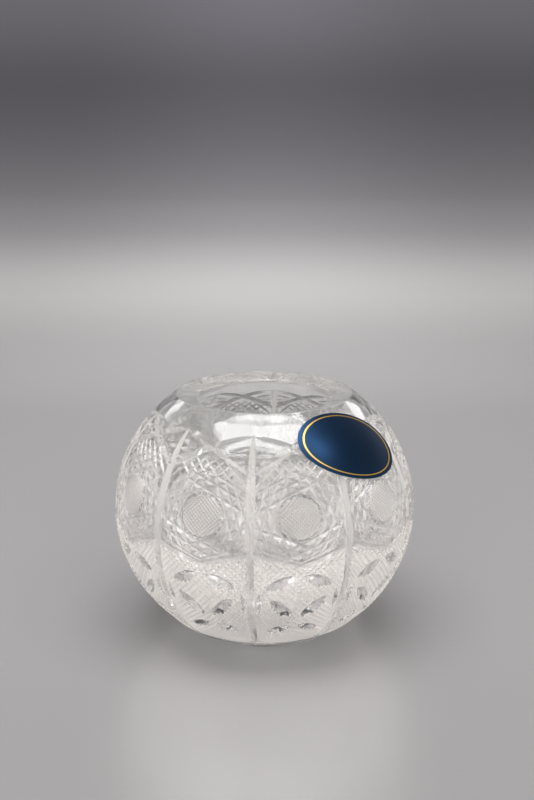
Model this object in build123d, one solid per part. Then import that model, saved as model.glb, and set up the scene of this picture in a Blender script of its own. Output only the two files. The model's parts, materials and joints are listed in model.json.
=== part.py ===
"""Cut crystal rose bowl: a thick glass globe with a wide ground lip and ten cut panels, and an oval
foil label stuck on its shoulder. Millimetres and degrees, Z up, origin at the middle of the base."""
import os
from math import acos, cos, degrees, radians, sin, sqrt, tan

from build123d import *

# Globe: an ellipse turned about Z, cut off at the base and at the lip
globe_radius = 55.0
globe_half_height = 52.0
base_radius = 22.4
lip_radius = 31.7

# Hollow: two half ellipses that meet at the equator
side_wall = 7.0
crown_wall = 5.5
floor_thickness = 9.0

# Lip: ground to a slight cone that falls towards the hollow
lip_slope = 13.0
lip_edge_radius = 0.6

# Places on the globe are a turn about Z and a latitude, the ellipse's own angle above its equator.
# Turns within a panel are counted from the panel's middle line
panel_count = 10
first_split_turn = -5.0

# Mitre wheel: its V edge, how far it stands clear of the glass, and how far it overruns the ends of a cut
wheel_angle = 100.0
wheel_clearance = 1.5
overrun = 3.0

# Splits: the upright cuts between the panels, from the plain band under the lip to the one above the base
neck_band = 10.8
foot_band = 18.0
split_depth = 1.9
split_end_depth = 0.9

# Crossing mitres under the neck band, from just below the top of one split down to the next split
cross_drop = 1.0
cross_fall = 13.0
cross_depth = 1.2
cross_end_depth = 0.3

# Round button in the middle of a panel, with its ring and the star of mitres that pass it
button_latitude = 14.0
button_radius = 7.7
ring_depth = 0.9
star_mitres = 8
star_gap = 0.4
star_half_length = 12.0
star_depth = 0.9

# Swags: two mitres that cross below the button
swag_depth = 1.1
swag_top = 1.0
swag_foot = -5.0
swag_cross_turn = 4.0

# Lozenge of four lens cuts in the lower field
lozenge_top = -8.0
lozenge_middle = -18.5
lozenge_bottom = -32.0
lozenge_half_turn = 13.0
lens_gap = 2.4
lens_depth = 1.5

# Star on the base, inside the rim that the bowl stands on
base_rim = 3.4
base_rays = 16
base_ray_inner = 3.5
base_ray_depth = 1.0

# Label: foil on a film of adhesive
label_turn = 43.2
label_drop = 16.8
label_tilt = -18.6
label_length = 40.0
label_width = 24.7
foil_thickness = 0.12
adhesive_thickness = 0.08

lip_latitude = degrees(acos(lip_radius / globe_radius))
base_latitude = -degrees(acos(base_radius / globe_radius))
split_top = lip_latitude - neck_band
split_bottom = base_latitude + foot_band
label_latitude = lip_latitude - label_drop
equator_height = -globe_half_height * sin(radians(base_latitude))
bowl_height = equator_height + globe_half_height * sin(radians(lip_latitude))
panel_turn = 360.0 / panel_count
half_panel = panel_turn / 2
globe_centre = Vector(0, 0, equator_height)


def on_globe(turn, latitude):
    """A place on the uncut outside: its turn is from -Y towards +X."""
    radius = globe_radius * cos(radians(latitude))
    rise = globe_half_height * sin(radians(latitude))
    return globe_centre + Vector(radius * sin(radians(turn)), -radius * cos(radians(turn)), rise)


def laid_on_globe(place):
    """Where the line from the globe's centre through this place meets the uncut outside."""
    line = place - globe_centre
    girth = (line.X ** 2 + line.Y ** 2) / globe_radius ** 2
    return globe_centre + line * (1 / sqrt(girth + (line.Z / globe_half_height) ** 2))


def outward(place):
    """The direction square to the uncut outside at a place on it."""
    flatness = (globe_radius / globe_half_height) ** 2
    return Vector(place.X, place.Y, (place.Z - equator_height) * flatness).normalized()


def sunk(place, depth):
    """A place on the uncut outside moved this deep into the glass."""
    return place - outward(place) * depth


def globe_face(film):
    """The right half of the globe's outline, grown by a film's thickness."""
    middle = (0, equator_height)
    arc = EllipticalCenterArc(middle, globe_radius + film, globe_half_height + film, -90, arc_size=180)
    return make_face([arc, Line(arc @ 1, arc @ 0)])


def hollow_face():
    """The right half of the hollow's outline."""
    middle = (0, equator_height)
    radius = globe_radius - side_wall
    upper = EllipticalCenterArc(middle, radius, globe_half_height - crown_wall, 0, arc_size=90)
    lower = EllipticalCenterArc(middle, radius, equator_height - floor_thickness, -90, arc_size=90)
    return make_face([lower, upper, Line(upper @ 1, lower @ 0)])


def turned_blank():
    """The blown blank with its lip and base ground: everything but the cuts."""
    reach = 2 * globe_radius
    lip_fall = lip_radius * tan(radians(lip_slope))
    ground = Polyline(
        (0, 0),
        (reach, 0),
        (reach, bowl_height),
        (lip_radius, bowl_height),
        (0, bowl_height - lip_fall),
        close=True,
    )
    section = (globe_face(0) & make_face(ground)) - hollow_face()
    lip_corners = section.vertices().sort_by(Axis.Y)[-2:]
    section = fillet(lip_corners, lip_edge_radius)
    return revolve(Plane.XZ * section, Axis.Z)


def wheel_edge(depth):
    """The V edge of the wheel for a cut this deep, its tip at the origin and opening along +X."""
    rise = depth + wheel_clearance
    half_width = rise * tan(radians(wheel_angle / 2))
    return make_face(Polyline((0, 0), (rise, half_width), (rise, -half_width), close=True))


def wheel_cut(start, deepest, end, out, depth):
    """What the wheel grinds away when its tip follows the arc through three places, opening the out way."""
    path = ThreePointArc(start, deepest, end)
    hub = path.arc_center
    spoke = start - hub
    opening = spoke if spoke.dot(out) > 0 else -spoke
    section = Plane(origin=start, x_dir=opening, z_dir=path.tangent_at(0))
    axis = Axis(hub, spoke.cross(end - hub))
    lift = degrees(overrun / path.radius)
    groove = revolve(section * wheel_edge(depth), axis, degrees(path.length / path.radius) + 2 * lift)
    return groove.rotate(axis, -lift)


def mitre(start, end, depth, end_depth=0.0):
    """A V cut along the globe, deepest halfway."""
    middle = laid_on_globe((start + end) * 0.5)
    return wheel_cut(sunk(start, end_depth), sunk(middle, depth), sunk(end, end_depth), outward(start), depth)


def splits():
    """The split on the right of the panel that faces -Y."""
    top = on_globe(half_panel, split_top)
    bottom = on_globe(half_panel, split_bottom)
    return [mitre(top, bottom, split_depth, split_end_depth)]


def crossing_mitres():
    """Two mitres from the top of one split down to the next, which cross in the middle of the panel."""
    cross_top = split_top - cross_drop
    cuts = []
    for side in (-half_panel, half_panel):
        start = on_globe(side, cross_top)
        end = on_globe(-side, cross_top - cross_fall)
        cuts.append(mitre(start, end, cross_depth, cross_end_depth))
    return cuts


def button_ring():
    """The ring mitre round the button."""
    button = on_globe(0, button_latitude)
    out = outward(button)
    sag = button_radius ** 2 / (2 * globe_radius)
    tip = sunk(button, ring_depth + sag) + Vector(button_radius, 0, 0)
    section = Plane(origin=tip, x_dir=out, z_dir=out.cross(Vector(1, 0, 0)))
    return [revolve(section * wheel_edge(ring_depth), Axis(button, out))]


def button_star():
    """Mitres that pass the button on all sides, just outside its ring."""
    button = on_globe(0, button_latitude)
    out = outward(button)
    east = Vector(1, 0, 0)
    cuts = []
    for ray in range(star_mitres):
        away = east.rotate(Axis((0, 0, 0), out), (ray + 0.5) * 360 / star_mitres)
        along = out.cross(away) * star_half_length
        nearest = button + away * (button_radius + star_gap)
        cuts.append(mitre(laid_on_globe(nearest - along), laid_on_globe(nearest + along), star_depth))
    return cuts


def swags():
    """Two mitres from the splits down past the middle of the panel, below the button."""
    cuts = []
    for side in (-1, 1):
        start = on_globe(side * half_panel, swag_top)
        end = on_globe(-side * swag_cross_turn, swag_foot)
        cuts.append(mitre(start, end, swag_depth, cross_end_depth))
    return cuts


def lens(start, end):
    """A short cut that stops half the gap short of both places, so that its neighbours stay clear of it."""
    along = (end - start).normalized() * (lens_gap / 2)
    return mitre(laid_on_globe(start + along), laid_on_globe(end - along), lens_depth)


def lozenge():
    """Four lens cuts round the hatched field."""
    top = on_globe(0, lozenge_top)
    bottom = on_globe(0, lozenge_bottom)
    cuts = []
    for side in (-lozenge_half_turn, lozenge_half_turn):
        corner = on_globe(side, lozenge_middle)
        cuts.append(lens(top, corner))
        cuts.append(lens(corner, bottom))
    return cuts


def base_star():
    """Rays cut in the base, which taper to a point at both ends."""
    inner = Vector(base_ray_inner, 0, 0)
    outer = Vector(base_radius - base_rim, 0, 0)
    deepest = (inner + outer) * 0.5 + Vector(0, 0, base_ray_depth)
    ray = wheel_cut(inner, deepest, outer, Vector(0, 0, -1), base_ray_depth)
    return [Rot(0, 0, (step + 0.5) * 360 / base_rays) * ray for step in range(base_rays)]


def round_the_globe(cuts):
    """One panel's cuts repeated in every panel."""
    turned = []
    for panel in range(panel_count):
        angle = first_split_turn + half_panel + panel * panel_turn
        turned += [Rot(0, 0, angle) * cut for cut in cuts]
    return turned


def glass_bowl():
    """The finished bowl, cut one kind of cut at a time."""
    bowl = turned_blank()
    for cuts in (splits(), crossing_mitres(), button_ring(), button_star(), swags(), lozenge()):
        bowl -= round_the_globe(cuts)
    return bowl - base_star()


def label_film(inner, thickness):
    """An oval film this thick that follows the globe, with its back at the inner offset from the outside."""
    middle = on_globe(label_turn, label_latitude)
    out = outward(middle)
    level = Vector(0, 0, 1).cross(out)
    face_on = Plane(origin=middle, x_dir=level, z_dir=out)
    oval = face_on * Rot(0, 0, label_tilt) * Ellipse(label_length / 2, label_width / 2)
    column = extrude(oval, label_length / 2, both=True)
    shell = revolve(Plane.XZ * (globe_face(inner + thickness) - globe_face(inner)), Axis.Z)
    return shell & column


pieces = {
    "glass_bowl": glass_bowl(),
    "label_adhesive": label_film(0.0, adhesive_thickness),
    "foil_label": label_film(adhesive_thickness, foil_thickness),
}

os.makedirs("parts", exist_ok=True)
for name, piece in pieces.items():
    piece.label = name
    export_step(piece, f"parts/{name}.step")
    print(name, "solids", len(piece.solids()), "volume", round(piece.volume, 2), "valid", piece.is_valid)
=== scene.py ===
"""Cut crystal rose bowl with an oval foil label, on a grey paper sweep under an overhead softbox.
Metres in the frame of the CAD model. Sizes are written in millimetres, times MM."""
import json
from functools import partial
from math import acos, cos, degrees, pi, radians, sin, sqrt, tan

import bmesh
import bpy
from mathutils import Matrix, Vector

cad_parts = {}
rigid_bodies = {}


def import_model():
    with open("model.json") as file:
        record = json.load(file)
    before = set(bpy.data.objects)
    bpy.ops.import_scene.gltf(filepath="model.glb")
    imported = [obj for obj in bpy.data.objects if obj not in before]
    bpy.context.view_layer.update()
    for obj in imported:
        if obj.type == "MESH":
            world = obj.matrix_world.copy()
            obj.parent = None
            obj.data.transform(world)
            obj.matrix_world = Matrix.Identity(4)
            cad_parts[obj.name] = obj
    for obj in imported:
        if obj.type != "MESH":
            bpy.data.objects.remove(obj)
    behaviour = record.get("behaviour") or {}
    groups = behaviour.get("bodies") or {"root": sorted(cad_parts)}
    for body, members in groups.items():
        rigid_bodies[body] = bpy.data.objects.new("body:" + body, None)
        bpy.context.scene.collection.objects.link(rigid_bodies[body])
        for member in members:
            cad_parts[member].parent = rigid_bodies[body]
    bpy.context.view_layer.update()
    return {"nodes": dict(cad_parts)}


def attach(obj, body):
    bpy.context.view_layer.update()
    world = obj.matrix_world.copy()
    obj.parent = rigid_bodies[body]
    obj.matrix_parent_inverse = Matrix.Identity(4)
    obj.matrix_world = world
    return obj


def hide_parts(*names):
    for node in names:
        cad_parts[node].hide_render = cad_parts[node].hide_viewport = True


for leftover in list(bpy.data.objects):
    bpy.data.objects.remove(leftover)
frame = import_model()
MM = 0.001

# Glass bowl, the blank: a thick globe of lead crystal, mould blown, with its mouth cracked off, ground
# to a slight cone and polished with the rest. The outside is an ellipse turned about Z.
globe_radius = 55.0 * MM
globe_half_height = 52.0 * MM
base_radius = 22.4 * MM
lip_radius = 31.7 * MM
side_wall = 7.0 * MM
crown_wall = 5.5 * MM
floor_thickness = 9.0 * MM
lip_slope = 13.0
lip_edge_radius = 0.6 * MM
turning_steps = 100
outside_steps = 52
inside_steps = 32
edge_steps = 5
base_rings = (0.0, 0.45, 0.86)
merge_distance = 0.002 * MM

lip_latitude = degrees(acos(lip_radius / globe_radius))
base_latitude = -degrees(acos(base_radius / globe_radius))
equator_height = -globe_half_height * sin(radians(base_latitude))
bowl_height = equator_height + globe_half_height * sin(radians(lip_latitude))
globe_centre = Vector((0, 0, equator_height))


def hollow_point(latitude):
    """A place on the hollow's outline, in the plane of the turning: radius and height."""
    half_height = globe_half_height - crown_wall if latitude > 0 else equator_height - floor_thickness
    across = (globe_radius - side_wall) * cos(radians(latitude))
    return Vector((across, equator_height + half_height * sin(radians(latitude))))


def globe_point(latitude):
    """A place on the globe's outline, in the plane of the turning."""
    across = globe_radius * cos(radians(latitude))
    return Vector((across, equator_height + globe_half_height * sin(radians(latitude))))


def lip_height(across):
    """Height of the ground lip at this radius."""
    return bowl_height - (lip_radius - across) * tan(radians(lip_slope))


def rounded(before, corner, after, radius):
    """The points of a small arc that takes the place of a corner."""
    inward = (before - corner).normalized()
    onward = (after - corner).normalized()
    half_angle = inward.angle(onward) / 2
    setback = radius / tan(half_angle)
    middle = corner + (inward + onward).normalized() * (radius / sin(half_angle))
    start = corner + inward * setback - middle
    end = corner + onward * setback - middle
    points = []
    for step in range(edge_steps + 1):
        blend = start.lerp(end, step / edge_steps)
        points.append(middle + blend.normalized() * radius)
    return points


def blank_outline():
    """The turned section from the middle of the base, up the outside, over the lip and down the hollow."""
    # Where the hollow meets the ground lip: a first guess, brought closer by the height that is still missing
    inner_lip_latitude = 60.0
    tries, degrees_per_share = 30, 40
    for _ in range(tries):
        place = hollow_point(inner_lip_latitude)
        missing_share = (lip_height(place.x) - place.y) / globe_half_height
        inner_lip_latitude += missing_share * degrees_per_share
    lip_outside = globe_point(lip_latitude)
    lip_inside = hollow_point(inner_lip_latitude)
    outside = [
        globe_point(base_latitude + (lip_latitude - base_latitude) * step / outside_steps)
        for step in range(outside_steps)
    ]
    inside = [
        hollow_point(inner_lip_latitude - (inner_lip_latitude + 90) * step / inside_steps)
        for step in range(1, inside_steps + 1)
    ]
    inside[-1].x = 0
    outer_edge = rounded(outside[-1], lip_outside, lip_inside, lip_edge_radius)
    inner_edge = rounded(lip_outside, lip_inside, inside[0], lip_edge_radius)
    rim_rings = [Vector((base_radius * share, 0)) for share in base_rings]
    return rim_rings + outside + outer_edge + inner_edge + inside


def turned_blank():
    """The blank as one closed mesh object."""
    shape = bmesh.new()
    section = [shape.verts.new((place.x, 0, place.y)) for place in blank_outline()]
    edges = [shape.edges.new(pair) for pair in zip(section, section[1:])]
    bmesh.ops.spin(
        shape,
        geom=section + edges,
        axis=(0, 0, 1),
        cent=(0, 0, 0),
        angle=2 * pi,
        steps=turning_steps,
        use_merge=True,
    )
    bmesh.ops.remove_doubles(shape, verts=shape.verts, dist=merge_distance)
    bmesh.ops.recalc_face_normals(shape, faces=shape.faces)
    mesh = bpy.data.meshes.new("glass_blank")
    shape.to_mesh(mesh)
    shape.free()
    blank = bpy.data.objects.new("crystal_bowl", mesh)
    bpy.context.collection.objects.link(blank)
    return blank


# Glass bowl, the cuts: one panel's worth of wheel cuts, each a line with the depth at its middle. A stone or
# diamond wheel with a V edge grinds them, and acid polishes all but the fine hatching. Ten panels go round
# the globe, so every cut is listed once and repeated by the cutting tree below.
panel_count = 10
first_split_turn = -5.0
half_panel = 180.0 / panel_count
wheel_angle = 100.0

# How a cut rises to its ends: the share of its depth that is lost is the way from its middle to this power
LONG_CUT = 4.0
FIELD_CUT = 10.0
LENS_CUT = 2.5
finishes = ("Polished cuts", "Lens cuts", "Split cuts", "Satin cuts", "Button cuts")
POLISHED, CLEAR, VEILED, SATIN, FINE_SATIN = range(len(finishes))
cuts = []
cut_facts = ("depth", "run", "on_base", "finish")


def on_globe(turn, latitude):
    """A place on the uncut outside: its turn is from -Y towards +X, in degrees from the panel's middle."""
    across, height = globe_point(latitude)
    return Vector((across * sin(radians(turn)), -across * cos(radians(turn)), height))


def outward(place):
    """The direction square to the uncut outside."""
    flatness = (globe_radius / globe_half_height) ** 2
    return Vector((place.x, place.y, (place.z - equator_height) * flatness)).normalized()


def cut(start, end, depth, run=LONG_CUT, on_base=0.0, finish=POLISHED):
    """Adds a cut from start to end. A long cut keeps its depth nearly to its ends, a lens rises all along."""
    cuts.append((start, end, depth, run, on_base, finish))


# Splits: the upright cuts between the panels, from the plain neck band to the plain band above the base
neck_band = 8.5
foot_band = 13.0
split_top = lip_latitude - neck_band
split_foot = base_latitude + foot_band
split_depth = 1.3 * MM
cut(on_globe(half_panel, split_top), on_globe(half_panel, split_foot), split_depth, finish=VEILED)

# Crossing mitres under the plain neck band, from the top of one split down past the next
cross_top_drop = 9.8
cross_foot_drop = 26.0
cross_start_turn = half_panel * 1.08
cross_end_turn = half_panel * 1.1
cross_depth = 1.25 * MM
for side in (-1, 1):
    start = on_globe(side * cross_start_turn, lip_latitude - cross_top_drop)
    end = on_globe(-side * cross_end_turn, lip_latitude - cross_foot_drop)
    cut(start, end, cross_depth)

# Fans of three short cuts that open towards the splits
fan_drop = 17.9
fan_latitude = lip_latitude - fan_drop
fan_rises = (-3.6, 0.0, 3.6)
fan_closing = 0.3
fan_tip_turn = 8.0
fan_end_turn = 17.4
fan_depth = 0.7 * MM
for side in (-1, 1):
    for rise in fan_rises:
        tip = on_globe(side * fan_tip_turn, fan_latitude + rise * fan_closing)
        cut(on_globe(side * fan_end_turn, fan_latitude + rise), tip, fan_depth, LENS_CUT)

# The hatched button and the star of mitres round it, laid out on the flat plane that touches the globe there
button_latitude = 14.0
button = on_globe(0, button_latitude)
button_out = outward(button)
button_east = Vector((1, 0, 0))
button_north = button_out.cross(button_east)
button_radius = 7.7 * MM


def by_button(east, north):
    """A place beside the button, by its distances from the button's middle."""
    return button + button_east * east + button_north * north


def chord(direction, offset, reach, depth, finish=POLISHED):
    """A cut on the button's plane, square to a direction, this far from the middle and this long each way."""
    away = Vector((cos(radians(direction)), sin(radians(direction))))
    along = Vector((-away.y, away.x))
    start = away * offset - along * reach
    end = away * offset + along * reach
    cut(by_button(*start), by_button(*end), depth, finish=finish)


# Each row of the star: how far it lies outside the button, its reach each way and its depth
star_points = 8
star_rows = (
    (0.6 * MM, 14.6 * MM, 0.85 * MM),
    (3.6 * MM, 12.8 * MM, 0.75 * MM),
    (6.6 * MM, 9.4 * MM, 0.65 * MM),
)
for point in range(star_points):
    direction = (point + 0.5) * 360 / star_points
    for gap, reach, depth in star_rows:
        chord(direction, button_radius + gap, reach, depth)

# The ring round the button, ground in short touches that run into each other
ring_touches = 24
ring_reach = 1.9 * MM
ring_depth = 0.85 * MM
for touch in range(ring_touches):
    chord(touch * 360 / ring_touches, button_radius, ring_reach, ring_depth, CLEAR)

# The hatching of the button, which runs out in its ring
button_pitch = 1.0 * MM
button_depth = 0.46 * MM
button_rows = 7
button_overrun = 0.5 * MM
hatch_radius = button_radius + button_overrun
for direction in (45, 135):
    for row in range(-button_rows, button_rows + 1):
        offset = row * button_pitch
        chord(direction, offset, sqrt(hatch_radius ** 2 - offset ** 2), button_depth, FINE_SATIN)


def crossings(corners, slope, shift):
    """Where the line north = slope * east + shift meets the sides of a field, from west to east."""
    meets = []
    for (east_a, north_a), (east_b, north_b) in zip(corners, corners[1:] + corners[:1]):
        side_a = north_a - slope * east_a - shift
        side_b = north_b - slope * east_b - shift
        if (side_a < 0) != (side_b < 0):
            meets.append(east_a + (east_b - east_a) * side_a / (side_a - side_b))
    return sorted(meets)


def hatch(field, pitch, depth, finish=POLISHED):
    """Fills a field, its corners in degrees, with slanting cuts both ways that leave small diamonds."""
    offset_rows = 0.25
    latitudes = [latitude for _, latitude in field]
    middle = (min(latitudes) + max(latitudes)) / 2
    across = radians(1) * globe_radius * cos(radians(middle))
    upward = radians(1) * globe_half_height
    corners = [(turn * across, (latitude - middle) * upward) for turn, latitude in field]
    step = pitch * sqrt(2)
    rows = int(sum(max(abs(corner[axis]) for corner in corners) for axis in (0, 1)) / step)
    for slope in (-1, 1):
        for row in range(-rows, rows + 1):
            shift = (row + offset_rows) * step
            meets = crossings(corners, slope, shift)
            for west, east in zip(meets[::2], meets[1::2]):
                if east - west > pitch:
                    start, end = [
                        on_globe(x / across, middle + (slope * x + shift) / upward) for x in (west, east)
                    ]
                    cut(start, end, depth, FIELD_CUT, finish=finish)


# Polished hatching above and below the star, out to the splits
above_star = [
    (-16.8, 19.0),
    (-12.0, 26.0),
    (12.0, 26.0),
    (16.8, 19.0),
    (16.8, 33.0),
    (14.0, 36.5),
    (-14.0, 36.5),
    (-16.8, 33.0),
]
below_star = [(-16.8, 9.5), (-16.8, 1.2), (0.0, -3.4), (16.8, 1.2), (16.8, 9.5), (12.0, 4.0), (-12.0, 4.0)]
star_hatch_pitch = 2.6 * MM
star_hatch_depth = 0.6 * MM
for star_field in (above_star, below_star):
    hatch(star_field, star_hatch_pitch, star_hatch_depth)

# Satin hatching of the lower field, which runs out in the splits and the swags
lower_field = [(-18.8, 2.8), (0.0, -3.1), (18.8, 2.8), (18.8, -50.0), (-18.8, -50.0)]
lower_pitch = 1.45 * MM
lower_depth = 0.64 * MM
hatch(lower_field, lower_pitch, lower_depth, SATIN)

# Swags: two mitres from the splits that cross below the button
swag_start_turn, swag_start = half_panel * 1.1, 2.2
swag_end_turn, swag_end = 5.0, -5.6
swag_depth = 1.2 * MM
for side in (-1, 1):
    start = on_globe(side * swag_start_turn, swag_start)
    end = on_globe(-side * swag_end_turn, swag_end)
    cut(start, end, swag_depth)

# Lens cuts in the right half of the lower field, by the turn and latitude of both ends and the depth. The
# left half mirrors it
lenses = (
    ((0.9, -8.0), (13.2, -13.6), 2.2 * MM),
    ((11.4, -17.6), (1.0, -28.6), 2.2 * MM),
    ((1.0, -33.4), (12.6, -38.6), 2.1 * MM),
    ((14.8, -14.5), (14.8, -26.0), 1.1 * MM),
)
for side in (-1, 1):
    for (turn_a, latitude_a), (turn_b, latitude_b), lens_depth in lenses:
        start = on_globe(side * turn_a, latitude_a)
        end = on_globe(side * turn_b, latitude_b)
        cut(start, end, lens_depth, LENS_CUT, finish=CLEAR)

# Star of rays in the base, inside the rim that the bowl stands on
rays_per_panel = 2
ray_inner = 2.5 * MM
ray_outer = 19.0 * MM
ray_depth = 1.1 * MM
for ray in range(rays_per_panel):
    turn = (ray - 0.5) * 2 * half_panel / rays_per_panel
    aim = Vector((sin(radians(turn)), -cos(radians(turn)), 0))
    cut(aim * ray_inner, aim * ray_outer, ray_depth, LENS_CUT, on_base=1.0)


def cut_lines():
    """The panel's cuts as one mesh of loose edges, which carries what the tree has to know of each cut."""
    mesh = bpy.data.meshes.new("cut_lines")
    places = []
    for start, end, *_ in cuts:
        places += [start, end]
    pairs = [(first, first + 1) for first in range(0, len(places), 2)]
    mesh.from_pydata(places, pairs, [])
    for column, name in enumerate(cut_facts, start=2):
        layer = mesh.attributes.new(name, "FLOAT", "POINT")
        layer.data.foreach_set("value", [line[column] for line in cuts for _ in range(2)])
    lines = bpy.data.objects.new("cut_lines", mesh)
    bpy.context.collection.objects.link(lines)
    return lines


def add_node(tree, kind, settings=None, inputs=None):
    """Adds a node to a tree. Settings are its properties, inputs are values or the sockets linked to it."""
    node = tree.nodes.new(kind)
    for name, value in (settings or {}).items():
        setattr(node, name, value)
    for name, value in (inputs or {}).items():
        socket = node.inputs[name]
        if isinstance(value, bpy.types.NodeSocket):
            tree.links.new(value, socket)
        else:
            socket.default_value = value
    return node


def linear(hex_colour):
    """An sRGB hex colour as linear RGBA."""
    channels = [int(hex_colour[place:place + 2], 16) / 255 for place in (1, 3, 5)]
    return (*[c / 12.92 if c <= 0.04045 else ((c + 0.055) / 1.055) ** 2.4 for c in channels], 1.0)


# Lead crystal bends light more than window glass does. The mould leaves slow waves in the blown skin
crystal_ior = 1.545
wave_length = 9.0 * MM


def lead_crystal(name, roughness, clearness, colour="#ffffff", waviness=0.0):
    """Lead crystal: the blown skin is quite clear, polished cuts have a slight veil, hatching stays satin."""
    material = bpy.data.materials.new(name)
    material.use_nodes = True
    shader = material.node_tree.nodes["Principled BSDF"]
    shader.inputs["Base Color"].default_value = linear(colour)
    shader.inputs["Transmission Weight"].default_value = clearness
    shader.inputs["Roughness"].default_value = roughness
    shader.inputs["IOR"].default_value = crystal_ior
    if waviness:
        tree = material.node_tree
        place = add_node(tree, "ShaderNodeTexCoord").outputs["Object"]
        wave_inputs = {"Vector": place, "Scale": 1 / wave_length, "Detail": 1.0}
        waves = add_node(tree, "ShaderNodeTexNoise", {}, wave_inputs)
        ripple = add_node(tree, "ShaderNodeBump", {}, {"Height": waves.outputs[0], "Distance": waviness})
        tree.links.new(ripple.outputs["Normal"], shader.inputs["Normal"])
    return material


def cutting_tree():
    """Lays each line on the globe, sweeps a wheel's V along it, repeats the panel and cuts the blank."""
    tree = bpy.data.node_groups.new("wheel_cutting", "GeometryNodeTree")
    sockets = (
        ("Blank", "NodeSocketGeometry"),
        ("Cut lines", "NodeSocketObject"),
        ("Panels", "NodeSocketInt"),
        ("First panel turn", "NodeSocketFloat"),
        ("Globe radius", "NodeSocketFloat"),
        ("Globe half height", "NodeSocketFloat"),
        ("Equator height", "NodeSocketFloat"),
        ("Wheel half width", "NodeSocketFloat"),
        ("Clearance", "NodeSocketFloat"),
        ("Step", "NodeSocketFloat"),
        ("Skin", "NodeSocketMaterial"),
        *[(name, "NodeSocketMaterial") for name in finishes],
    )
    for name, kind in sockets:
        tree.interface.new_socket(name, in_out="INPUT", socket_type=kind)
    tree.interface.new_socket("Bowl", in_out="OUTPUT", socket_type="NodeSocketGeometry")
    given = tree.nodes.new("NodeGroupInput").outputs

    node = partial(add_node, tree)
    add, subtract, multiply, divide, multiply_add, normalize, greater = [
        {"operation": name}
        for name in ("ADD", "SUBTRACT", "MULTIPLY", "DIVIDE", "MULTIPLY_ADD", "NORMALIZE", "GREATER_THAN")
    ]
    vectors = {"data_type": "VECTOR"}
    carried = {}
    for name in cut_facts:
        reader = node("GeometryNodeInputNamedAttribute", {"data_type": "FLOAT"}, {"Name": name})
        carried[name] = reader.outputs["Attribute"]

    # Each line in steps: some for its length, and more for a cut that rises all along
    rising_steps = 16.0
    lines = node("GeometryNodeObjectInfo", {}, {"Object": given["Cut lines"]})
    curves = node("GeometryNodeMeshToCurve", {}, {"Mesh": lines.outputs["Geometry"]})
    length = node("GeometryNodeSplineLength").outputs["Length"]
    length_steps = node("ShaderNodeMath", divide, {0: length, 1: given["Step"]}).outputs[0]
    end_steps = node("ShaderNodeMath", divide, {0: rising_steps, 1: carried["run"]}).outputs[0]
    steps = node("ShaderNodeMath", add, {0: length_steps, 1: end_steps}).outputs[0]
    stepped = node("GeometryNodeResampleCurve", {}, {"Curve": curves.outputs["Curve"], "Count": steps})

    # Where each step lies on the globe, and the way out of the glass there
    here = node("GeometryNodeInputPosition").outputs["Position"]
    centre = node("ShaderNodeCombineXYZ", {}, {"Z": given["Equator height"]}).outputs[0]
    spoke = node("ShaderNodeVectorMath", subtract, {0: here, 1: centre}).outputs[0]
    girth = given["Globe radius"]
    half_axes = {"X": girth, "Y": girth, "Z": given["Globe half height"]}
    axes = node("ShaderNodeCombineXYZ", {}, half_axes).outputs[0]
    round_spoke = node("ShaderNodeVectorMath", divide, {0: spoke, 1: axes}).outputs[0]
    ball = node("ShaderNodeVectorMath", normalize, {0: round_spoke}).outputs[0]
    globe_spoke = node("ShaderNodeVectorMath", multiply, {0: ball, 1: axes}).outputs[0]
    laid = node("ShaderNodeVectorMath", add, {0: globe_spoke, 1: centre}).outputs[0]
    long_out = node("ShaderNodeVectorMath", divide, {0: ball, 1: axes}).outputs[0]
    globe_out = node("ShaderNodeVectorMath", normalize, {0: long_out}).outputs[0]
    flat, down = carried["on_base"], (0.0, 0.0, -1.0)
    out = node("ShaderNodeMix", vectors, {0: flat, 4: globe_out, 5: down}).outputs[1]
    surface = node("ShaderNodeMix", vectors, {0: flat, 4: laid, 5: here}).outputs[1]

    # How deep the wheel goes at each step
    along = node("GeometryNodeSplineParameter").outputs["Factor"]
    to_either_end = node("ShaderNodeMath", multiply_add, {0: along, 1: 2.0, 2: -1.0}).outputs[0]
    from_middle = node("ShaderNodeMath", {"operation": "ABSOLUTE"}, {0: to_either_end}).outputs[0]
    lost = node("ShaderNodeMath", {"operation": "POWER"}, {0: from_middle, 1: carried["run"]}).outputs[0]
    left_over = node("ShaderNodeMath", subtract, {0: 1.0, 1: lost}).outputs[0]
    depth = node("ShaderNodeMath", multiply, {0: left_over, 1: carried["depth"]}).outputs[0]
    sinking = node("ShaderNodeVectorMath", {"operation": "SCALE"}, {0: out, "Scale": depth}).outputs[0]
    sunk = node("ShaderNodeVectorMath", subtract, {0: surface, 1: sinking}).outputs[0]

    kept_out = node(
        "GeometryNodeCaptureAttribute", {"domain": "POINT"}, {"Geometry": stepped.outputs["Curve"]}
    )
    kept_out.capture_items.new("VECTOR", "Out")
    kept_out.capture_items.new("FLOAT", "Depth")
    tree.links.new(out, kept_out.inputs["Out"])
    tree.links.new(depth, kept_out.inputs["Depth"])
    tip = node("GeometryNodeSetPosition", {}, {"Geometry": kept_out.outputs["Geometry"], "Position": sunk})
    upright = node(
        "GeometryNodeSetCurveNormal",
        {"mode": "FREE"},
        {"Curve": tip.outputs["Geometry"], "Normal": kept_out.outputs["Out"]},
    )

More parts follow.
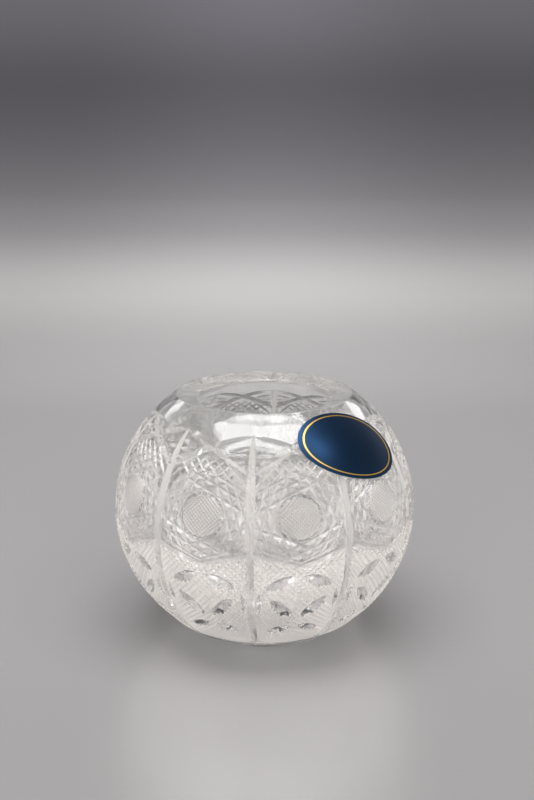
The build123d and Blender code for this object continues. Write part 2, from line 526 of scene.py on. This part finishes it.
    # The wheel's V: three points, its tip at the middle and open along X
    corner = node("GeometryNodeCurvePrimitiveCircle", {"mode": "RADIUS"}, {"Resolution": 3, "Radius": 1.0})
    corner_height, corner_half_width = 3 / 2, sqrt(3) / 2
    v_width = node("ShaderNodeMath", divide, {0: given["Wheel half width"], 1: corner_half_width}).outputs[0]
    v_size = node("ShaderNodeCombineXYZ", {}, {"X": 1 / corner_height, "Y": v_width, "Z": 1.0}).outputs[0]
    edge = node(
        "GeometryNodeTransform",
        {},
        {
            "Geometry": corner.outputs["Curve"],
            "Translation": (1 / corner_height, 0.0, 0.0),
            "Rotation": (0.0, 0.0, pi),
            "Scale": v_size,
        },
    )
    v_height = node("ShaderNodeMath", add, {0: kept_out.outputs["Depth"], 1: given["Clearance"]}).outputs[0]
    swept = node(
        "GeometryNodeCurveToMesh",
        {},
        {
            "Curve": upright.outputs["Curve"],
            "Profile Curve": edge.outputs["Geometry"],
            "Scale": v_height,
            "Fill Caps": True,
        },
    )
    first_finish = {"Geometry": swept.outputs["Mesh"], "Material": given[finishes[POLISHED]]}
    faced = node("GeometryNodeSetMaterial", {}, first_finish).outputs["Geometry"]
    nearly = 0.1
    for number, name in list(enumerate(finishes))[1:]:
        same = {0: carried["finish"], 1: float(number), 2: nearly}
        chosen = node("ShaderNodeMath", {"operation": "COMPARE"}, same).outputs[0]
        other_finish = {"Geometry": faced, "Selection": chosen, "Material": given[name]}
        faced = node("GeometryNodeSetMaterial", {}, other_finish).outputs["Geometry"]
    island = node("GeometryNodeInputMeshIsland").outputs["Island Index"]
    apart = node(
        "GeometryNodeSplitToInstances",
        {"domain": "FACE"},
        {"Geometry": faced, "Group ID": island},
    )

    # The panel's cuts at every panel
    panels = node("GeometryNodePoints", {}, {"Count": given["Panels"]})
    number = node("GeometryNodeInputIndex").outputs["Index"]
    panel_turn = node("ShaderNodeMath", divide, {0: 2 * pi, 1: given["Panels"]}).outputs[0]
    counted = {0: number, 1: panel_turn, 2: given["First panel turn"]}
    turn = node("ShaderNodeMath", multiply_add, counted).outputs[0]
    spin = node("ShaderNodeCombineXYZ", {}, {"Z": turn}).outputs[0]
    turned = node("FunctionNodeEulerToRotation", {}, {0: spin}).outputs[0]
    around = node(
        "GeometryNodeInstanceOnPoints",
        {},
        {"Points": panels.outputs[0], "Instance": apart.outputs["Instances"], "Rotation": turned},
    )
    single = node(
        "GeometryNodeRealizeInstances",
        {},
        {"Geometry": around.outputs["Instances"], "Realize All": False, "Depth": 1},
    )
    clear_blank = node(
        "GeometryNodeSetMaterial", {}, {"Geometry": given["Blank"], "Material": given["Skin"]}
    )

    # Everything is cut at once. Faces that no cut has touched keep the blown skin
    cut_bowl = node("GeometryNodeMeshBoolean", {"operation": "DIFFERENCE", "solver": "MANIFOLD"})
    tree.links.new(clear_blank.outputs["Geometry"], cut_bowl.inputs["Mesh 1"])
    tree.links.new(single.outputs["Geometry"], cut_bowl.inputs["Mesh 2"])
    whole = node("GeometryNodeRealizeInstances", {}, {"Geometry": cut_bowl.outputs["Mesh"]})
    uncut = True
    for name in finishes:
        ground = node("GeometryNodeMaterialSelection", {}, {"Material": given[name]}).outputs["Selection"]
        uncut = node("FunctionNodeBooleanMath", {"operation": "NIMPLY"}, {0: uncut, 1: ground}).outputs[0]
    skinned = node(
        "GeometryNodeSetMaterial",
        {},
        {"Geometry": whole.outputs["Geometry"], "Selection": uncut, "Material": given["Skin"]},
    )

    # The lip is ground and polished as clear as the lens cuts: it lies above the equator and looks up
    least_upward = 0.9
    height = node("ShaderNodeSeparateXYZ", {}, {0: here}).outputs["Z"]
    facing = node("GeometryNodeInputNormal").outputs[0]
    upward = node("ShaderNodeSeparateXYZ", {}, {0: facing}).outputs["Z"]
    is_high = node("ShaderNodeMath", greater, {0: height, 1: given["Equator height"]}).outputs[0]
    is_level = node("ShaderNodeMath", greater, {0: upward, 1: least_upward}).outputs[0]
    lip = node("ShaderNodeMath", multiply, {0: is_high, 1: is_level}).outputs[0]
    finished = node(
        "GeometryNodeSetMaterial",
        {},
        {"Geometry": skinned.outputs["Geometry"], "Selection": lip, "Material": given[finishes[CLEAR]]},
    )
    end = tree.nodes.new("NodeGroupOutput")
    tree.links.new(finished.outputs["Geometry"], end.inputs["Bowl"])
    return tree


def set_inputs(modifier, values):
    """Sets a tree's named inputs on its modifier."""
    for item in modifier.node_group.interface.items_tree:
        if item.name in values:
            modifier[item.identifier] = values[item.name]


wheel_clearance = 0.6 * MM
cut_step = 6.0 * MM
facet_angle = 14.0
skin_waviness = 0.2 * MM

crystal_bowl = turned_blank()
lines = cut_lines()
cutting = crystal_bowl.modifiers.new("cutting", "NODES")
cutting.node_group = cutting_tree()
set_inputs(cutting, {
    "Cut lines": lines,
    "Panels": panel_count,
    "First panel turn": radians(first_split_turn + half_panel),
    "Globe radius": globe_radius,
    "Globe half height": globe_half_height,
    "Equator height": equator_height,
    "Wheel half width": tan(radians(wheel_angle / 2)),
    "Clearance": wheel_clearance,
    "Step": cut_step,
    "Skin": lead_crystal("lead_crystal_blown_skin", roughness=0.06, clearness=1.0, waviness=skin_waviness),
    "Polished cuts": lead_crystal(
        "lead_crystal_polished_cuts", roughness=0.1, clearness=0.74, colour="#f3f1ef"
    ),
    "Lens cuts": lead_crystal("lead_crystal_lens_cuts", roughness=0.1, clearness=0.93),
    "Split cuts": lead_crystal("lead_crystal_splits", roughness=0.1, clearness=0.73, colour="#f9f7f5"),
    "Satin cuts": lead_crystal(
        "lead_crystal_satin_hatching", roughness=0.5, clearness=0.56, colour="#fdf9f6"
    ),
    "Button cuts": lead_crystal(
        "lead_crystal_fine_hatching", roughness=0.34, clearness=0.7, colour="#e9e5e2"
    ),
})
bpy.context.view_layer.update()
finished_mesh = bpy.data.meshes.new_from_object(
    crystal_bowl.evaluated_get(bpy.context.evaluated_depsgraph_get())
)
crystal_bowl.modifiers.remove(cutting)
crystal_bowl.data = finished_mesh
bpy.data.objects.remove(lines)
finished_mesh.shade_smooth()
finished_mesh.set_sharp_from_angle(angle=radians(facet_angle))
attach(crystal_bowl, "root")
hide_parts("glass_bowl")

# Label adhesive: a film of clear pressure-sensitive acrylic under the whole label. Only its back shows,
# through the glass, with the pale back of the label behind it. The CAD node keeps its own shape.
adhesive = bpy.data.materials.new("acrylic_adhesive_film")
adhesive.use_nodes = True
adhesive_shader = adhesive.node_tree.nodes["Principled BSDF"]
adhesive_shader.inputs["Base Color"].default_value = linear("#c9cbd0")
adhesive_shader.inputs["Roughness"].default_value = 0.25
adhesive_node = frame["nodes"]["label_adhesive"]
adhesive_node.data.materials.clear()
adhesive_node.data.materials.append(adhesive)

# Foil label: an oval punched from blue lacquered aluminium foil, laid on the shoulder by hand, so a
# little askew. A plain gold line is hot stamped near its edge.
label_turn = 43.2
label_drop = 16.8
label_tilt = -18.6
label_length = 40.0 * MM
label_width = 24.7 * MM
adhesive_thickness = 0.08 * MM
foil_thickness = 0.12 * MM
foil_edge = 0.04 * MM
keyline_inner = 0.885
keyline_outer = 0.915
keyline_rise = 0.03 * MM
label_sides = 144
label_edge_angle = 35.0

label_middle = on_globe(label_turn, lip_latitude - label_drop)
label_out = outward(label_middle)
label_level = Vector((0, 0, 1)).cross(label_out).normalized()
label_rise = label_out.cross(label_level)
tilt = Matrix.Rotation(radians(label_tilt), 3, label_out)
label_long = tilt @ label_level
label_short = tilt @ label_rise


def on_label(share, angle, height):
    """A place on the label: its share of the oval, its angle round it and its height above the glass."""
    long_way = label_long * (share * label_length / 2 * cos(angle))
    short_way = label_short * (share * label_width / 2 * sin(angle))
    place = label_middle + long_way + short_way - globe_centre
    stretch = Vector((1 / globe_radius, 1 / globe_radius, 1 / globe_half_height))
    near = place * stretch
    way = label_out * stretch
    half = near.dot(way)
    slide = (-half + sqrt(half ** 2 - way.dot(way) * (near.dot(near) - 1))) / way.dot(way)
    laid = globe_centre + place + label_out * slide
    return laid + outward(laid) * height


def foil(name, hex_colour, roughness):
    """Lacquered foil: a metal with its colour in the lacquer and a satin sheen."""
    material = bpy.data.materials.new(name)
    material.use_nodes = True
    shader = material.node_tree.nodes["Principled BSDF"]
    shader.inputs["Base Color"].default_value = linear(hex_colour)
    shader.inputs["Metallic"].default_value = 1.0
    shader.inputs["Roughness"].default_value = roughness
    return material


def foil_oval():
    """The label as a closed mesh of rings, with the stamped line's faces in the second material."""
    top = adhesive_thickness + foil_thickness
    line_top = top + keyline_rise
    face_shares = (0.12, 0.24, 0.36, 0.48, 0.6, 0.7, 0.8, 0.86)
    rim_shares = (0.95, 0.985)
    back_shares = (0.8, 0.55, 0.28)
    rings = [(share, top) for share in face_shares]
    first_gold = len(rings)
    rings += [(keyline_inner, top), (keyline_inner, line_top)]
    rings += [(keyline_outer, line_top), (keyline_outer, top)]
    after_gold = len(rings) - 1
    rings += [(share, top) for share in rim_shares]
    rings += [(1.0, top - foil_edge), (1.0, adhesive_thickness)]
    rings += [(share, adhesive_thickness) for share in back_shares]
    shape = bmesh.new()
    loops = []
    for share, height in rings:
        angles = [2 * pi * side / label_sides for side in range(label_sides)]
        loops.append([shape.verts.new(on_label(share, angle, height)) for angle in angles])
    middle_top = shape.verts.new(on_label(0, 0, top))
    middle_back = shape.verts.new(on_label(0, 0, adhesive_thickness))
    for side in range(label_sides):
        onward = (side + 1) % label_sides
        shape.faces.new((middle_top, loops[0][side], loops[0][onward]))
        shape.faces.new((middle_back, loops[-1][onward], loops[-1][side]))
        for number, (inner, outer) in enumerate(zip(loops, loops[1:])):
            face = shape.faces.new((inner[side], outer[side], outer[onward], inner[onward]))
            face.material_index = int(first_gold <= number < after_gold)
    bmesh.ops.recalc_face_normals(shape, faces=shape.faces)
    mesh = bpy.data.meshes.new("foil_oval")
    shape.to_mesh(mesh)
    shape.free()
    mesh.shade_smooth()
    mesh.set_sharp_from_angle(angle=radians(label_edge_angle))
    mesh.materials.append(foil("aluminium_foil_blue_lacquer", "#1f3652", roughness=0.3))
    mesh.materials.append(foil("aluminium_foil_gold_stamped", "#d9b45a", roughness=0.28))
    return mesh


blue_label = bpy.data.objects.new("blue_foil_label", foil_oval())
bpy.context.collection.objects.link(blue_label)
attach(blue_label, "root")
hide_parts("foil_label")

# Stage: a roll of grey seamless paper, flat under the bowl and swept up behind it. Its greys are painted
# light
# and shade: lightest where the sweep begins, darker towards the front, painted shade above. Its sizes are in
# metres.
sweep_start = 0.80
sweep_radius = 0.9
sweep_angle = 58.0
sweep_steps = 24
paper_front = -2.5
paper_half_width = 3.0
flat_steps = 12
paper_ior = 2.1


def paper_line():
    """The sweep seen from the side: y and z, from the front edge to the top."""
    flat_run = sweep_start - paper_front
    points = [(paper_front + flat_run * step / flat_steps, 0.0) for step in range(flat_steps)]
    for step in range(sweep_steps + 1):
        angle = radians(sweep_angle * step / sweep_steps)
        points.append((sweep_start + sweep_radius * sin(angle), sweep_radius * (1 - cos(angle))))
    return points


def grey_paper():
    """Coated seamless paper: satin where it lies flat, matt up the sweep, its greys painted light and shade.
    """
    material = bpy.data.materials.new("grey_seamless_paper")
    material.use_nodes = True
    tree = material.node_tree
    shader = tree.nodes["Principled BSDF"]
    node = partial(add_node, tree)
    smooth = {"interpolation_type": "SMOOTHSTEP"}
    place = node("ShaderNodeTexCoord").outputs["Object"]
    parts = node("ShaderNodeSeparateXYZ", {}, {0: place}).outputs
    run = node("ShaderNodeMath", {"operation": "ADD"}, {0: parts["Y"], 1: parts["Z"]}).outputs[0]

    # Painted light and shade along the paper, from front to back and up
    painted_light_stops = (
        (-0.30, "#777677"),
        (0.02, "#959495"),
        (0.34, "#999899"),
        (0.55, "#9a989a"),
        (0.82, "#b0aeb0"),
        (1.03, "#8e8c8f"),
        (1.20, "#6e6c71"),
        (1.54, "#4a494e"),
        (1.83, "#5b5a60"),
    )
    first, last = painted_light_stops[0][0], painted_light_stops[-1][0]
    # These painted greys stand in for the softbox's light on the paper and the shade that falls above and in
    # front
    share = node("ShaderNodeMapRange", {}, {0: run, 1: first, 2: last, 3: 0.0, 4: 1.0}).outputs[0]
    painted_light_ramp = node("ShaderNodeValToRGB", {}, {0: share})
    ramp = painted_light_ramp.color_ramp
    ramp.interpolation = "CARDINAL"
    ramp.elements[0].color = linear(painted_light_stops[0][1])
    ramp.elements[1].color = linear(painted_light_stops[-1][1])
    for place_along, colour in painted_light_stops[1:-1]:
        ramp.elements.new((place_along - first) / (last - first)).color = linear(colour)

    # A soft pool of light behind the bowl
    pool_half_width, pool_lift = 0.30, 0.30
    pool_start, pool_full = 0.1, 0.5
    aside = node("ShaderNodeMath", {"operation": "ABSOLUTE"}, {0: parts["X"]}).outputs[0]
    pool_inputs = {0: aside, 1: 0.0, 2: pool_half_width, 3: pool_lift, 4: 0.0}
    pool = node("ShaderNodeMapRange", smooth, pool_inputs).outputs[0]
    far = node("ShaderNodeMapRange", smooth, {0: run, 1: pool_start, 2: pool_full, 3: 0.0, 4: 1.0}).outputs[0]
    lift = node("ShaderNodeMath", {"operation": "MULTIPLY_ADD"}, {0: pool, 1: far, 2: 1.0}).outputs[0]
    lit = {0: painted_light_ramp.outputs["Color"], "Scale": lift}
    tone = node("ShaderNodeVectorMath", {"operation": "SCALE"}, lit)
    tree.links.new(tone.outputs[0], shader.inputs["Base Color"])

    # Satin near the bowl, matt up the sweep
    satin_end, matt_start = 0.3, 0.8
    satin_roughness, matt_roughness = 0.32, 0.9
    satin_shine, matt_shine = 1.0, 0.1
    for socket, near, away in (
        ("Roughness", satin_roughness, matt_roughness),
        ("Specular IOR Level", satin_shine, matt_shine),
    ):
        fade = node("ShaderNodeMapRange", {}, {0: run, 1: satin_end, 2: matt_start, 3: near, 4: away})
        tree.links.new(fade.outputs[0], shader.inputs[socket])
    shader.inputs["IOR"].default_value = paper_ior
    return material


paper_points = [(side * paper_half_width, y, z) for side in (-1, 1) for y, z in paper_line()]
paper_count = len(paper_points) // 2
paper_faces = [
    (step, step + paper_count, step + paper_count + 1, step + 1) for step in range(paper_count - 1)
]
paper_mesh = bpy.data.meshes.new("paper_sweep")
paper_mesh.from_pydata(paper_points, [], paper_faces)
paper_mesh.shade_smooth()
paper_mesh.materials.append(grey_paper())
paper = bpy.data.objects.new("paper_sweep", paper_mesh)
bpy.context.collection.objects.link(paper)

# Stage, the card: a sheet of dark grey board that hangs behind the sweep, above the picture, so that the
# satin paper doesn't mirror the pale walls there.
card_half_width = 0.95
card_distance = 1.75
card_bottom = 0.40
card_top = 2.0
card_points = [
    (-card_half_width, card_distance, card_bottom),
    (card_half_width, card_distance, card_bottom),
    (card_half_width, card_distance, card_top),
    (-card_half_width, card_distance, card_top),
]
card_mesh = bpy.data.meshes.new("dark_card")
card_mesh.from_pydata(card_points, [], [(0, 1, 2, 3)])
card_material = bpy.data.materials.new("grey_card")
card_material.use_nodes = True
card_shader = card_material.node_tree.nodes["Principled BSDF"]
card_shader.inputs["Base Color"].default_value = linear("#4a494d")
card_shader.inputs["Roughness"].default_value = 0.9
card_mesh.materials.append(card_material)
card = bpy.data.objects.new("dark_card", card_mesh)
bpy.context.collection.objects.link(card)


# Light: a wide softbox overhead, a little in front of the bowl, a narrow strip high on the right, and the
# pale walls of the studio all round, with two dim corners and a pale reflector board in front.
def soft_lamp(name, size, watts, place, aim):
    """A rectangular softbox at a place, aimed at another."""
    lamp = bpy.data.lights.new(name, "AREA")
    lamp.shape = "RECTANGLE"
    lamp.size, lamp.size_y = size
    lamp.energy = watts
    holder = bpy.data.objects.new(name, lamp)
    holder.location = place
    holder.rotation_euler = (Vector(aim) - Vector(place)).to_track_quat("-Z", "Y").to_euler()
    bpy.context.collection.objects.link(holder)


softbox_size = (1.05, 0.62)
softbox_watts = 11.0
softbox_place = (-0.08, -0.2, 1.1)
softbox_aim = (-0.08, -0.2, 0.0)
soft_lamp("overhead_softbox", softbox_size, softbox_watts, softbox_place, softbox_aim)

strip_size = (0.10, 0.24)
strip_watts = 0.6
strip_place = (0.54, -0.22, 0.80)
strip_aim = (0.02, -0.03, 0.08)
soft_lamp("side_strip", strip_size, strip_watts, strip_place, strip_aim)

world = bpy.data.worlds.new("studio_walls")
world.use_nodes = True
bpy.context.scene.world = world
walls = world.node_tree.nodes["Background"]
walls.inputs["Color"].default_value = linear("#fffdfa")
wall_strength = 1.15
dim_strength = 0.36
dim_edge, dim_core = 0.72, 0.97
right_corner = (0.79, 0.19, 0.584)
left_corner = (-0.92, 0.2, 0.48)
reflector_strength = 0.6
reflector_core, reflector_edge = -1.0, -0.2
wall_node = partial(add_node, world.node_tree)
smooth_fade = {"interpolation_type": "SMOOTHSTEP"}
direction = wall_node("ShaderNodeTexCoord").outputs["Generated"]
towards = {"operation": "DOT_PRODUCT"}
right, left = [
    wall_node("ShaderNodeVectorMath", towards, {0: direction, 1: corner}).outputs["Value"]
    for corner in (right_corner, left_corner)
]
nearest = wall_node("ShaderNodeMath", {"operation": "MAXIMUM"}, {0: right, 1: left}).outputs[0]
dimming = {0: nearest, 1: dim_edge, 2: dim_core, 3: wall_strength, 4: dim_strength}
brightness = wall_node("ShaderNodeMapRange", smooth_fade, dimming).outputs[0]
front = wall_node("ShaderNodeSeparateXYZ", {}, {0: direction}).outputs["Y"]
board = {0: front, 1: reflector_core, 2: reflector_edge, 3: reflector_strength, 4: 0.0}
reflector = wall_node("ShaderNodeMapRange", smooth_fade, board).outputs[0]
strength = wall_node("ShaderNodeMath", {"operation": "ADD"}, {0: brightness, 1: reflector}).outputs[0]
world.node_tree.links.new(strength, walls.inputs["Strength"])

# Camera: at the photograph's viewing angle, nineteen degrees above the bowl's middle
camera_place = (0.94 * MM, -414.9 * MM, 193.9 * MM)
camera_dip = 14.5
camera_data = bpy.data.cameras.new("camera")
camera_data.lens = 53.2
camera_data.sensor_width = 36.0
camera = bpy.data.objects.new("camera", camera_data)
camera.location = camera_place
camera.rotation_euler = (radians(90 - camera_dip), 0, 0)
bpy.context.collection.objects.link(camera)

scene = bpy.context.scene
scene.camera = camera
scene.view_settings.view_transform = "Standard"
# Light passes many faces of cut glass before it comes out, and its glitter isn't blurred away
scene.cycles.max_bounces = 32
scene.cycles.transmission_bounces = 32
scene.cycles.glossy_bounces = 16
scene.cycles.blur_glossy = 0.2
